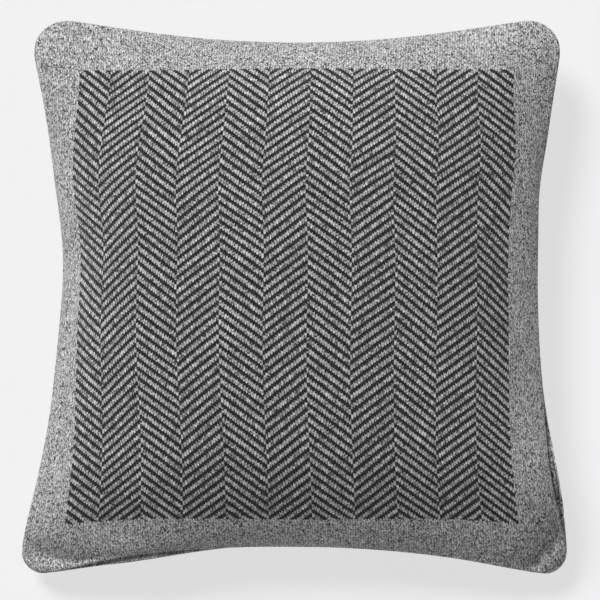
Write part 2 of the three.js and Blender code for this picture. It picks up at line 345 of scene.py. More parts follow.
def rolled_seam(u, v, depth, side):
    """(inward move, rise) of the cloth beside a rolled seam."""
    roll, distance = seam_roll(u, v), seam_distance(u, v, corner_share(v))
    inward = SEAM_ROLL_INWARD * np.maximum(roll, 0) * bump(distance, ROLL_WIDTH)
    bulge = distance / ROLL_WIDTH * np.exp(1 - distance / ROLL_WIDTH)
    if depth <= COVER_THICKNESS:  # only the cover's own cloth passes the seam
        inward -= ROLL_BULGE * np.maximum(-side * roll, 0) * bulge
    rise = SEAM_ROLL * roll * bump(distance, SEAM_ROLL_WIDTH)
    if side < 0:
        thick_enough = (1 - WELT_FADE * (u * v) ** 4).clip(0)
        rise += WELT_LIFT * np.maximum(roll, 0) * bulge * thick_enough
    return inward, rise


def between_sides(across, along, depth):
    """(x, y) between the four sides, with the middle moved as the stuffing has moved it."""
    left, right = side_reach(LEFT, along), side_reach(RIGHT, along)
    bottom, top = side_reach(BOTTOM, across), side_reach(TOP, across)
    middle = (1 - along * along).clip(0)
    shift_x = CROWN_SHIFT[0] * middle ** 1.25 * (1 - across ** 4)
    shift_y = CROWN_SHIFT[1] * middle * (1 - across * across)
    x = (right - left) / 2 + across * ((right + left) / 2 - depth) + shift_x
    y = (top - bottom) / 2 + along * ((top + bottom) / 2 - depth) + shift_y
    return x, y


def drift(u, v):
    """The knit doesn't lie quite straight: its rows and wales wander a little."""
    free = DRIFT * (1 - u * u) * (1 - v * v)
    drift_x = np.sin(5.1 * v + 1.7 * u + 0.4) + 0.7 * np.sin(9.3 * v - 3.1 * u + 2.0)
    drift_y = np.sin(4.3 * u - 1.9 * v + 1.1) + 0.7 * np.sin(8.7 * u + 2.3 * v)
    sway = SWAY * smoothstep(-0.5, 0.4, v) * (1 - u ** 4) * (1 - v ** 12)
    return free * drift_x - sway, free * drift_y


class Form:
    """The stuffed cover: where any point of the cut lies, at any depth below its outer face."""

    def __init__(self):
        front, back = inflate()
        middle = (front[..., 2] + back[..., 2]) / 2
        self.front_rise = smoothed(front[..., 2] - middle, SMOOTHING)
        self.back_rise = smoothed(middle - back[..., 2], SMOOTHING)

    def fullness(self, rise, u, v, lean):
        """The height, from the seam (0) to the middle (1), which leans towards the top."""
        v = v - lean * (1 - v * v)
        across, along = spread_across(u, v), spread(ALONG, v, u)
        stuffing = ((1 - across * across) * (1 - along * along)).clip(0) ** EDGE_POWER
        return stuffing + CLOTH_SHARE * (sample(rise, u, v) / rise.max() - stuffing)

    def plan(self, u, v, depth, side):
        """(x, y, rise at a rolled seam, distance from the cover's outline) seen from above.

        side is 1 for the front and -1 for the back.
        """
        s, t = round_corners(u, v, corner_share(v))
        across, along = spread_across(s, t), spread(ALONG, t, s)
        x, y = between_sides(across, along, depth)
        drift_x, drift_y = drift(u, v)
        inward, rise = rolled_seam(u, v, depth, side)
        move = inward[..., None] * side_of(u, v)
        edge = (1 - np.maximum(np.abs(across), np.abs(along))) * HALF + depth
        return x + drift_x - move[..., 0], y + drift_y - move[..., 1], rise, edge

    def seam(self, u, v, depth):
        """The height that the front and the back are measured from, by the place in plan."""
        inset = 1 - SEAM_INSET * depth / HALF
        u, v = u * inset, v * inset
        drop = np.where(v > 0, TOP_CORNER_DROP, BOTTOM_CORNER_DROP) * (u * v) ** 4
        return SEAM_HEIGHT - drop - BOTTOM_DROP * smoothstep(BOTTOM_DROP_FROM, -1, v)

    def front(self, u, v, depth):
        """Points of the front, at a depth below its outer face."""
        x, y, roll, edge = self.plan(u, v, depth, 1)
        rise = (CROWN - depth) * self.fullness(self.front_rise, u, v, CROWN_LEAN)
        fold = front_folds(x, y) * smoothstep(0, FOLD_ROOM, edge)
        return np.stack([x, y, self.seam(u, v, depth) + rise + fold + roll], -1)

    def back(self, u, v, depth):
        """Points of the back, which lies flat where it rests on the floor."""
        x, y, roll, _ = self.plan(u, v, depth, -1)
        fall = (BELLY - depth) * self.fullness(self.back_rise, u, v, 0)
        free = self.seam(u, v, depth) - fall + roll
        return np.stack([x, y, soft_max(free - depth, REST_BLEND) + depth], -1)


# ---- the zip's place, from the frame ----

HINGE_HEIGHT = 0.0023  # of the pull's hinge above the cover's face
ZIP_OPENING = 0.182  # half the opening's length
ZIP_FLAT = {"y": 0.003, "half_length": 0.200, "half_width": 0.018}
ZIP_BLEND = (0.025, 0.010)  # how far past its ends and its sides the cloth is still held flat
ZIP_INSERT_CLEARANCE = 0.0074
ZIP_INSERT_MARGIN = 0.005
INSERT_ROOM = 0.8  # the share of the form's thickness that the insert's back may be lifted
LIP = 0.0012  # from the zip's middle to the cloth's edge
LIP_FADE = (0.004, 0.002)  # before and after the opening's end, where the lips meet
SEAM_GAP = 0.00015


class ZipPlace:
    """The zip's line and plane, worked out from the pull's hinge."""

    def __init__(self):
        hinge = next(j for j in frame["joints"] if j["name"] == "pull_swing")
        axis = Vector(hinge["axis"])
        self.tilt = math.atan2(axis.z, -axis.y)
        self.outward = np.array([0, -math.sin(self.tilt), -math.cos(self.tilt)])
        self.across = np.array([0, -math.cos(self.tilt), math.sin(self.tilt)])
        place = np.array(hinge["pos_m"]) - HINGE_HEIGHT * self.outward
        self.y, self.z = place[1], place[2]

    def plane(self, y, inside):
        """The height of the zip's plane at y, moved inside the cover."""
        return self.z - (y - self.y) * math.tan(self.tilt) + inside / math.cos(self.tilt)


def near_zip(place, points, margin=0.0):
    """1 over the zip, falling to 0 round it."""
    length, width = ZIP_FLAT["half_length"] + margin, ZIP_FLAT["half_width"] + margin
    along = 1 - smoothstep(length, length + ZIP_BLEND[0], np.abs(points[..., 0]))
    away = np.abs(points[..., 1] - place.y - ZIP_FLAT["y"])
    return along * (1 - smoothstep(width, width + ZIP_BLEND[1], away))


def cover_back(form, place, u, v, depth):
    """Points of the cover's back, with the strip round the zip laid in the zip's plane."""
    points = form.back(u, v, depth)
    plane = place.plane(points[..., 1], depth)
    points[..., 2] += near_zip(place, points) * (plane - points[..., 2])
    return points


def insert_back(form, place, u, v, depth):
    """Points of the insert's back, which stays clear of the zip's inner side."""
    points = form.back(u, v, depth)
    near = near_zip(place, points, ZIP_INSERT_MARGIN)
    inside = ZIP_INSERT_CLEARANCE + depth - TICKING[0]
    lift = near * np.maximum(place.plane(points[..., 1], inside) - points[..., 2], 0)
    room = form.front(u, v, depth)[..., 2] - points[..., 2]
    points[..., 2] += np.minimum(lift, INSERT_ROOM * np.maximum(room, 0))
    return points


# ---- meshes ----

def normals_of(points):
    return unit(np.cross(np.gradient(points, axis=0), np.gradient(points, axis=1)))


def show(name, data):
    """A new object, in the scene."""
    shown = bpy.data.objects.new(name, data)
    bpy.context.scene.collection.objects.link(shown)
    return shown


def add_mesh(name, points, faces, uv=None):
    """A smooth-shaded piece; uv, if given, is each point's place on the flat cut."""
    mesh = bpy.data.meshes.new(name)
    mesh.from_pydata(points.tolist(), [], faces)
    if uv is not None:
        layer = mesh.uv_layers.new(name="cut")
        corner = np.zeros(len(mesh.loops), np.int32)
        mesh.loops.foreach_get("vertex_index", corner)
        layer.data.foreach_set("uv", uv[corner].astype(np.float32).ravel())
    mesh.polygons.foreach_set("use_smooth", np.ones(len(mesh.polygons), bool))
    return show(name, mesh)


def rim(index):
    """The point numbers round the edge of a grid, in order."""
    return np.concatenate([index[:-1, 0], index[-1, :-1], index[:0:-1, -1], index[0, :0:-1]])


def rim_places(grid):
    """Where each rim point is, from 0 to 4, the same for grids of any size."""
    return np.concatenate([side + np.arange(size - 1) / (size - 1)
                           for side, size in enumerate(grid.shape * 2)])


def bridge(first, first_at, second, second_at):
    """Triangles between two closed edges whose points run side by side."""
    a, a_at = list(first) + [first[0]], list(first_at) + [4.0]
    b, b_at = list(second) + [second[0]], list(second_at) + [4.0]
    faces, i, j = [], 0, 0
    while i < len(a) - 1 or j < len(b) - 1:
        if j == len(b) - 1 or (i < len(a) - 1 and a_at[i + 1] <= b_at[j + 1]):
            faces.append((int(a[i + 1]), int(a[i]), int(b[j])))
            i += 1
        else:
            faces.append((int(a[i]), int(b[j]), int(b[j + 1])))
            j += 1
    return faces


def shell(name, outer, outer_uv, inner, inner_uv, flip=False):
    """A closed thin piece between two grids of points; the inner one may be coarser.

    The two uv arguments are the grids' (u, v).
    """
    size = outer[..., 0].size
    top = np.arange(size).reshape(outer.shape[:2])
    low = size + np.arange(inner[..., 0].size).reshape(inner.shape[:2])
    faces = grid_faces(top).tolist() + grid_faces(low)[:, ::-1].tolist()
    faces += bridge(rim(top), rim_places(top), rim(low), rim_places(low))
    if flip:
        faces = [f[::-1] for f in faces]
    points = np.concatenate([outer.reshape(-1, 3), inner.reshape(-1, 3)])
    uv = [cut_uv(*places).reshape(-1, 2) for places in (outer_uv, inner_uv)]
    return add_mesh(name, points, faces, np.concatenate(uv))


def cut_uv(u, v):
    """The place on the flat cut, from 0 to 1."""
    s, t = round_corners(u, v)
    return np.stack([(s + 1) / 2, (t + 1) / 2], -1)


SEAM_ROWS = (0.0005, 0.0011, 0.0018, 0.0027, 0.0038)  # closer lines of points beside a seam
LIP_ROWS = (0.0006, 0.0013, 0.0022)  # and beside the zip


def stitch_lines(pitch):
    """Lines across the cut through each stitch's middle, with more of them at the seams."""
    edge = np.array([0, *SEAM_ROWS])
    count = int((HALF - edge[-1] - pitch / 2) / pitch)
    middle = np.arange(-count, count + 1) * pitch
    return np.concatenate([edge - HALF, middle, HALF - edge[::-1]]) / HALF


def coarse_lines(count):
    return np.linspace(-1, 1, count + 1)


def coarse_rows(count):
    return np.linspace(0, 1, count + 1)


def edge_rows(count, length):
    """Rows over one piece of the back, length metres long: 0 at the zip, 1 at its seam."""
    middle = coarse_rows(count)[1:-1]
    first, last = np.array(LIP_ROWS) / length, np.array(SEAM_ROWS) / length
    middle = middle[(middle > first.max() * 1.3) & (middle < 1 - last.max() * 1.3)]
    return np.concatenate([[0], first, middle, 1 - last[::-1], [1]])


def side_of(u, v):
    """The outward direction across the nearest seam, seen from above."""
    share = corner_share(v)
    s, t = round_corners(u, v, share)
    qx = np.sign(s) * np.maximum(np.abs(s) - 1 + share, 0)
    qy = np.sign(t) * np.maximum(np.abs(t) - 1 + share, 0)
    return unit(np.stack([qx, qy, np.zeros_like(qx)], -1))


CREASE_INWARD, CREASE_WIDTH = 0.0024, 0.0017
SWELL_HEIGHT, SWELL_PLACE, SWELL_WIDTH = 0.0009, 0.0048, 0.0024


def turned_in(points, u, v):
    """Turns the cloth in at the seam."""
    inward = CREASE_INWARD * bump(seam_distance(u, v), CREASE_WIDTH)
    return points - side_of(u, v) * inward[..., None]


# ---- the knit's relief ----

DARK_RELIEF = -0.00022
LIGHT_RELIEF = 0.00012
BORDER_RIPPLE = 0.00004
BACK_RIPPLE = 0.00006


def is_dark(wale, course):
    """Whether a stitch of the herringbone field is dark."""
    first = wale - FIELD_WALES[0] - FIRST_TURN + 0.5
    zigzag = TURN - np.abs(first % (2 * TURN) - TURN)
    leg = np.floor(first / TURN)
    return (course - zigzag + REPEAT / 2 * leg + PHASE) % REPEAT < DARK_COURSES


def in_field(wale, course):
    """Whether a stitch is in the herringbone field, not in the border."""
    return ((wale >= FIELD_WALES[0]) & (wale < FIELD_WALES[1])
            & (course >= FIELD_COURSES[0]) & (course < FIELD_COURSES[1]))


def knit_relief(u, v):
    """The dark stitches lie lower than the light ones."""
    s, t = round_corners(u, v)
    wale = np.round(s * HALF / WALE)
    course = np.round(t * HALF / COURSE)
    field = in_field(wale, course)
    raised = np.where(is_dark(wale, course), DARK_RELIEF, LIGHT_RELIEF)
    ripple = BORDER_RIPPLE * np.sin(wale * 2.1) * np.sin(course * 1.7 + wale)
    return np.where(field, raised, ripple)


# A fold: a line seen from above, its width to the right and to the left of the line, its
# depth, and its raised lip's share of the depth.
FOLD_ROOM = 0.011  # the folds fade nearer the outline than this
FOLDS = [
    ((-0.090, -0.2165), (-0.030, -0.2130), 0.0022, 0.0022, 0.0011, 0.5),
    ((-0.060, -0.2095), (0.024, -0.2105), 0.0026, 0.0026, 0.0008, 0.5),
    ((0.060, -0.2140), (0.130, -0.2200), 0.0026, 0.0026, 0.0007, 0.5),
    ((-0.196, -0.2420), (-0.186, -0.2340), 0.0018, 0.0018, 0.0016, 0.5),
    ((-0.186, -0.2340), (-0.172, -0.2385), 0.0018, 0.0018, 0.0016, 0.5),
    ((0.150, -0.2310), (0.205, -0.2370), 0.0024, 0.0024, 0.0010, 0.5),
    ((0.248, -0.2030), (0.203, -0.2570), 0.0125, 0.0085, 0.0098, 0.1),  # the right dog-ear
    ((-0.200, -0.2530), (-0.250, -0.2070), 0.0110, 0.0070, 0.0045, 0.1),  # the left one
    ((-0.256, -0.2310), (-0.140, -0.2460), 0.0060, 0.0110, 0.0060, 0.1),  # under its crest
]
LIP_PLACE = 1.9  # how far from a fold's line its raised lip is, in widths
FOLD_END = 0.06  # how far from nothing a fold starts and ends


def crease(x, y, start, end, right_width, left_width, depth, lip):
    """How high one fold raises the cloth at (x, y): below 0 in its groove."""
    run_x, run_y = end[0] - start[0], end[1] - start[1]
    away_x, away_y = x - start[0], y - start[1]
    place = np.clip((away_x * run_x + away_y * run_y) / (run_x ** 2 + run_y ** 2), 0, 1)
    gap = np.hypot(away_x - place * run_x, away_y - place * run_y)
    width = np.where(run_x * away_y > run_y * away_x, left_width, right_width)
    fade = np.sin(np.pi * np.clip(FOLD_END + (1 - 2 * FOLD_END) * place, 0, 1)) ** 0.7
    return depth * fade * (-bump(gap, width) + lip * bump(gap - LIP_PLACE * width, width))


def front_folds(x, y):
    """The few folds in the front's border, which the layers below follow."""
    return sum(crease(x, y, *fold) for fold in FOLDS)


def finished_cloth(points, u, v, relief, outward):
    """Adds the relief, the swelling beside the seam and the turn at it to smooth cloth."""
    swell = SWELL_HEIGHT * bump(seam_distance(u, v) - SWELL_PLACE, SWELL_WIDTH)
    normal = normals_of(points) * outward
    return turned_in(points + normal * (swell + relief)[..., None], u, v)


FRONT_INNER_CELLS = (110, 120)  # across and along the front's inner side
BACK_PITCH = 0.0032
BACK_INNER_CELLS = 100
MAIN_LENGTH, MAIN_ROWS, MAIN_INNER_ROWS = 0.44, 150, 90
STRIP_LENGTH, STRIP_ROWS, STRIP_INNER_ROWS = 0.06, 16, 14


def make_front(form):
    u, v = grid_of(stitch_lines(WALE), stitch_lines(COURSE))
    base = form.front(u, v, 0)
    base[..., 2] += SEAM_GAP
    outer = finished_cloth(base, u, v, knit_relief(u, v), 1)
    a, b = grid_of(*map(coarse_lines, FRONT_INNER_CELLS))
    inner = form.front(a, b, COVER_THICKNESS)
    inner[..., 2] += SEAM_GAP
    return shell("cover_front_knit", outer, (u, v), turned_in(inner, a, b), (a, b))


# ---- the back, in two pieces that meet at the zip ----

def zip_cut(form, place, u, side):
    """v where each u line of the back meets the zip's lip; side is 1 above and -1 below."""
    tries = np.linspace(-0.999, -0.4, 240)
    start, end = ZIP_OPENING - LIP_FADE[0], ZIP_OPENING + LIP_FADE[1]
    cut = np.zeros(len(u))
    for k, line in enumerate(u):
        points = cover_back(form, place, np.full(tries.shape, line)[None], tries[None], 0)[0]
        at = np.interp(place.y, points[:, 1], np.abs(points[:, 0]))
        open_here = 1 - smoothstep(start, end, at)
        gap = (SEAM_GAP + (LIP - SEAM_GAP) * open_here) * math.cos(place.tilt)
        cut[k] = np.interp(place.y + side * gap, points[:, 1], tries)
    return cut


def back_grid(form, place, lines, rows, side):
    """(u, v) over one piece of the back. rows run from 0 at the zip to 1 at the far seam."""
    cut = zip_cut(form, place, lines, side)[:, None]
    u = np.repeat(lines[:, None], len(rows), axis=1)
    far = 1.0 if side > 0 else -1.0
    return u, cut + (far - cut) * rows[None, :]


LIP_TURN, LIP_TURN_WIDTH = 0.0010, 0.0012  # how the cloth turns in at the zip's lip


def make_back(form, place, name, side, rows, inner_rows):
    """One piece of the back: side is 1 for the part above the zip and -1 for the strip."""
    u, v = back_grid(form, place, stitch_lines(BACK_PITCH), rows, side)
    a, b = back_grid(form, place, coarse_lines(BACK_INNER_CELLS), inner_rows, side)
    base = cover_back(form, place, u, v, 0)
    base[..., 2] -= SEAM_GAP
    ripple = BACK_RIPPLE * np.sin(u * 310) * np.sin(v * 270 + u * 120)
    relief = ripple - LIP_TURN * bump((v - v[:, :1]) * HALF, LIP_TURN_WIDTH)
    outer = finished_cloth(base, u, v, relief, -side)
    inner = cover_back(form, place, a, b, COVER_THICKNESS)
    inner[..., 2] -= SEAM_GAP
    return shell(name, outer, (u, v), turned_in(inner, a, b), (a, b), flip=side > 0)


# ---- the insert, the seam allowance and the label ----

INSERT_CELLS = 96
TICKING_CRINKLE = 0.0004
FILL_TUFT = 0.0008
ALLOWANCE_POINTS = 640  # round the seam, enough for its loops of thread
ALLOWANCE_SPAN = (0.925, 0.983)  # how far out the band lies, as shares of half the cut
ALLOWANCE_ROWS = 6
LOOP_RIDGE = 0.00025
LABEL_U = (-0.83, -0.71, 13)  # the label's two ends, and how many points there are between
LABEL_V = (-0.18, -0.02, 17)


def crinkle(u, v, depth):
    """Small wrinkles of the woven ticking, stronger towards its seam."""
    near = bump(seam_distance(u, v), 0.05)
    waves = np.sin(u * 34 + 5 * np.sin(v * 9)) * np.sin(v * 31 + 4 * np.sin(u * 11))
    return depth * waves * near


def make_ticking(form, place, name, side, u, v):
    """One side of the insert's casing: side is 1 for the front and -1 for the back."""
    wrinkle = np.abs(crinkle(u, v, TICKING_CRINKLE))
    layers = []
    for depth in TICKING:
        points = form.front(u, v, depth) if side > 0 else insert_back(form, place, u, v, depth)
        points[..., 2] += side * (SEAM_GAP - wrinkle)
        layers.append(points)
    return shell(name, layers[0], (u, v), layers[1], (u, v), flip=side < 0)


def make_fill(form, place, u, v):
    """The insert's fibre, with small tufts on top."""
    top = form.front(u, v, FILL_DEPTH)
    low = insert_back(form, place, u, v, FILL_DEPTH)
    tufts = np.abs(np.sin(u * 23 + v * 7) * np.sin(v * 19 - u * 5))
    top[..., 2] += SEAM_GAP - FILL_TUFT * tufts
    low[..., 2] -= SEAM_GAP
    return shell("insert_fill_fibre", top, (u, v), low, (u, v))


def round_the_seam():
    """(turn, u, v) of points round the seam; turn runs from 0 to 8, two for each side."""
    turn = np.linspace(0, 8, ALLOWANCE_POINTS, endpoint=False)
    u = np.clip(4 - np.abs((turn + 3) % 8 - 4) - 2, -1, 1)
    v = np.clip(4 - np.abs((turn + 1) % 8 - 4) - 2, -1, 1)
    return turn, u, v


def band_faces(count, across):
    """The quads of a closed band: its top, its underside and its two edges."""
    top = np.arange(count * across).reshape(count, across)
    top = np.concatenate([top, top[:1]])
    low = top + count * across
    edges = [np.stack([top[:, 0], low[:, 0]], 1), np.stack([low[:, -1], top[:, -1]], 1)]
    return np.concatenate([grid_faces(part) for part in (top[:, ::-1], low, *edges)]).tolist()


def make_allowance(form):
    """The overlocked band inside the seam, with a ridge for each loop of thread."""
    turn, square_u, square_v = round_the_seam()
    shares = np.linspace(*ALLOWANCE_SPAN, ALLOWANCE_ROWS)
    u, v = square_u[:, None] * shares, square_v[:, None] * shares
    ridge = LOOP_RIDGE * np.sin(turn * len(turn) / 16 * np.pi)[:, None] * np.ones(len(shares))
    outer = form.front(u, v, ALLOWANCE[0])
    inner = form.front(u, v, ALLOWANCE[1])
    outer[..., 2] -= 0.0002 + ridge * 0.4
    points = np.concatenate([outer.reshape(-1, 3), inner.reshape(-1, 3)])
    uv = np.stack([np.repeat(turn, len(shares)), np.tile(shares * 8, len(turn))], -1)
    return add_mesh("seam_allowance_overlock", points, band_faces(*u.shape),
                    np.concatenate([uv, uv]))


def make_label(form, place):
    """The blank care label, sewn to the inside of the back."""
    u, v = grid_of(np.linspace(*LABEL_U), np.linspace(*LABEL_V))
    outer = cover_back(form, place, u, v, LABEL[0])
    inner = cover_back(form, place, u, v, LABEL[1])
    return shell("care_label_satin", outer, (u, v), inner, (u, v), flip=True)


# ---- the zip's coils ----

COIL_PITCH = 0.0014
COIL_WIRE = 0.00028  # radius of the nylon
COIL_STEPS = 10  # points of the path in one turn
COIL_RADIUS = 0.0010
COIL_INSIDE = 0.0041  # below the cover's face
COIL_APART = 0.00175  # from the zip's middle
WIRE_SIDES = 6


def coil_path(place, low, high, side):
    """The points along the middle of a coil's wire, inside the box that the frame gives it."""
    start, end = low[0] + COIL_WIRE, high[0] - COIL_WIRE
    turns = int((end - start) / COIL_PITCH)
    count = turns * COIL_STEPS + 1
    angle = np.linspace(0, 2 * np.pi * turns, count)
    middle = np.array([0, place.y, place.z])
    centre = middle - COIL_INSIDE * place.outward + side * COIL_APART * place.across
    x = start + (end - start) * np.linspace(0, 1, count)
    path = centre + np.stack([x, np.zeros(count), np.zeros(count)], -1)
    return path + (COIL_RADIUS - COIL_WIRE) * (np.cos(angle)[:, None] * place.outward
                                               + side * np.sin(angle)[:, None] * place.across)


def make_coil(place, name, side):
    """One nylon coil: side is -1 for the upper one and 1 for the lower."""
    path = coil_path(place, *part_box(name), side)
    along = unit(np.gradient(path, axis=0))
    first = unit(np.cross(along, [1.0, 0, 0]))
    second = np.cross(along, first)
    ring = np.arange(WIRE_SIDES) * 2 * np.pi / WIRE_SIDES
    points = (path[:, None] + COIL_WIRE * (np.cos(ring)[None, :, None] * first[:, None]
                                           + np.sin(ring)[None, :, None] * second[:, None]))
    index = np.arange(len(path) * WIRE_SIDES).reshape(len(path), WIRE_SIDES)
    wrapped = np.concatenate([index, index[:, :1]], axis=1)
    faces = grid_faces(wrapped).tolist() + [index[0].tolist(), index[-1, ::-1].tolist()]
    return add_mesh(name + "_wound", points.reshape(-1, 3), faces)


# ---- materials ----

class Nodes:
    """A material's node tree, with short calls for the nodes that the materials share."""

    def __init__(self, name):
        self.material = bpy.data.materials.new(name)
        self.material.use_nodes = True
        self.tree = self.material.node_tree
        self.shader = self.tree.nodes["Principled BSDF"]

    def link(self, value, socket):
        if isinstance(value, bpy.types.NodeSocket):
            self.tree.links.new(value, socket)
        else:
            socket.default_value = value

    def add(self, kind, inputs, output=0, **settings):
        """The output of a new node; each input is a number or another node's output."""
        node = self.tree.nodes.new("ShaderNode" + kind)
        for name, value in settings.items():
            setattr(node, name, value)
        for socket, value in inputs.items():
            self.link(value, node.inputs[socket])
        return node.outputs[output]

    def math(self, operation, *values):
        return self.add("Math", dict(enumerate(values)), operation=operation)

    def times(self, first, second):
        return self.math("MULTIPLY", first, second)

    def mix(self, share, first, second, kind="FLOAT"):
        return self.add("Mix", {"Factor": share, "A": first, "B": second}, "Result",
                        data_type=kind)

    def range(self, *numbers):
        """Takes the value, the range that it lies in, and the range that it moves to."""
        return self.add("MapRange", dict(enumerate(numbers)), "Result")

    def vector(self, *parts):
        return self.add("CombineXYZ", dict(enumerate(parts)))

    def parts(self, vector):
        node = self.tree.nodes.new("ShaderNodeSeparateXYZ")
        self.link(vector, node.inputs[0])
        return node.outputs[0], node.outputs[1]

    def cut(self):
        """The flat cut's x and y, from 0 to 1."""
        return self.parts(self.add("UVMap", {}, uv_map="cut"))

    def place(self):
        """The point's own coordinates, in metres."""
        return self.add("TexCoord", {}, "Object")

    def random(self, vector):
        """A value from 0 to 1 that is the same over each whole number of vector."""
        return self.add("TexWhiteNoise", {"Vector": vector}, "Value", noise_dimensions="3D")

    def noise(self, vector, scale, detail=2.0, roughness=0.5):
        inputs = {"Vector": vector, "Scale": scale, "Detail": detail, "Roughness": roughness}
        return self.add("TexNoise", inputs, "Fac")

    def wave(self, coordinate, pitch):
        """From -1 to 1 and back, once every pitch."""
        return self.math("SINE", self.times(coordinate, 2 * math.pi / pitch))

    def bump(self, height, distance, strength):
        inputs = {"Distance": distance, "Strength": strength, "Height": height}
        self.link(self.add("Bump", inputs), self.shader.inputs["Normal"])

    def finish(self, color, roughness, sheen=0.0, specular=0.5, metallic=0.0):
        inputs = {"Base Color": color, "Roughness": roughness, "Sheen Weight": sheen,
                  "Sheen Roughness": 0.5, "Specular IOR Level": specular, "Metallic": metallic}
        for name, value in inputs.items():
            self.link(value, self.shader.inputs[name])
        return self.material


def grey(value):
    return (value, value, value, 1)


DARK_YARN = 0.024
MARL_RANGE = (0.02, 0.76)  # the border's yarn, from its dark ply to its light one
STRIPE_RANGE = (0.02, 0.78)  # and the light stripes' yarn
BORDER_WEIGHTS = (0.05, 0.15, 0.80)
STRIPE_WEIGHTS = (0.25, 0.45, 0.30)
SEAM_PAINTED_SHADE = (0.0006, 0.0020, 0.50)  # painted shade along the seam: darkest up to here, gone from here, and how dark
PLY_SEED, STITCH_SEED, TONE_SEED = 7.0, 11.0, 3.0
FUZZ_SCALE = 1400.0


def stitch_space(n):
    """(wale, course, place across the wale, height in courses, distance from its middle)."""
    x, y = n.cut()
    wale = n.math("MULTIPLY_ADD", n.math("SUBTRACT", x, 0.5), CUT / WALE, 0.5)
    across = n.math("FRACT", wale)
    leg = n.math("ABSOLUTE", n.math("SUBTRACT", across, 0.5))
    height = n.math("MULTIPLY_ADD", n.math("SUBTRACT", y, 0.5), CUT / COURSE, 0.5)
    height = n.math("SUBTRACT", height, n.times(leg, 2 * V_DEPTH))
    height = n.math("ADD", height, V_DEPTH / 2)
    return n.math("FLOOR", wale), n.math("FLOOR", height), across, height, leg


def stripe_mask(n, wale, height):
    """1 on the dark stripes of the herringbone field, at a height in courses, and on the painted
    shade that widens them.
    """
    first = n.math("SUBTRACT", wale, FIELD_WALES[0] + FIRST_TURN - 0.5)
    zigzag = n.math("PINGPONG", first, float(TURN))
    leg = n.math("FLOOR", n.math("DIVIDE", first, float(TURN)))
    row = n.math("SUBTRACT", n.math("ADD", height, STRIPE_SHADE_SPREAD / 2), zigzag)
    row = n.math("MULTIPLY_ADD", leg, REPEAT / 2, row)
    return n.math("LESS_THAN", n.math("FLOORED_MODULO", row, float(REPEAT)),
                  DARK_COURSES + STRIPE_SHADE_SPREAD)


def field_mask(n, wale, course):
    """1 in the herringbone field and 0 in the border."""
    sides = []
    for number, (low, high) in ((wale, FIELD_WALES), (course, FIELD_COURSES)):
        sides.append(n.math("GREATER_THAN", number, low - 0.5))
        sides.append(n.math("LESS_THAN", number, high - 0.5))
    return n.times(n.times(sides[0], sides[1]), n.times(sides[2], sides[3]))


def marl(n, wale, course, across, up, tones, weights):
    """Marled yarn: a light and a dark ply twisted together, so that each stitch differs.

    weights are those of the whole stitch, of its two legs and of the plies in each leg.
    """
    half = n.math("FLOOR", n.times(across, 2.0))
    upper = n.math("FLOOR", n.times(up, 2.0))
    whole = n.random(n.vector(wale, course, STITCH_SEED))
    leg = n.random(n.vector(wale, course, half))
    ply = n.random(n.vector(n.math("MULTIPLY_ADD", wale, 2.0, half),
                            n.math("MULTIPLY_ADD", course, 2.0, upper), PLY_SEED))
    share = n.times(whole, weights[0])
    share = n.math("MULTIPLY_ADD", leg, weights[1], share)
    share = n.math("MULTIPLY_ADD", ply, weights[2], share)
    return n.range(share, 0.15, 0.85, *tones)


def painted_seam_shade(n):
    """Painted shade along the seam, where the seam's stitches pull the edge in: the cloth is
    darkened near the cut's edge.
    """
    ends = [n.math("SUBTRACT", 0.5, n.math("ABSOLUTE", n.math("SUBTRACT", w, 0.5)))
            for w in n.cut()]
    edge = n.times(n.math("MINIMUM", *ends), CUT)
    near, far, darkest = SEAM_PAINTED_SHADE
    return n.range(edge, near, far, darkest, 1.0)


def yarn_value(n, stitch, up, with_field):
    """The yarn's lightness: marl, with the herringbone's dark stripes over it in the field."""
    wale, course, across, height, _ = stitch
    value = marl(n, wale, course, across, up, MARL_RANGE, BORDER_WEIGHTS)
    if with_field:
        field = field_mask(n, wale, course)
        stripe = marl(n, wale, course, across, up, STRIPE_RANGE, STRIPE_WEIGHTS)
        value = n.mix(field, value, stripe)
    broad = n.noise(n.place(), 14.0, 3.0)
    value = n.times(value, n.range(broad, 0.3, 0.7, 0.95, 1.05))
    if with_field:
        tone = n.random(n.vector(wale, course, TONE_SEED))
        dark = n.range(tone, 0.0, 1.0, DARK_YARN * 0.5, DARK_YARN * 1.5)
        mask = n.times(stripe_mask(n, wale, height), field)
        value = n.mix(mask, value, dark)
    return value


def stitch_loft(n, across, up, fuzz):
    """How high the yarn stands in a stitch: two round legs, with loose fibres."""
    rope = n.math("SINE", n.times(up, math.pi))
    legs = n.math("FRACT", n.times(across, 2.0))
    legs = n.math("SINE", n.times(legs, math.pi))
    loft = n.times(*(n.math("SQRT", n.math("ABSOLUTE", part)) for part in (legs, rope)))
    return n.math("MULTIPLY_ADD", fuzz, 0.35, loft)


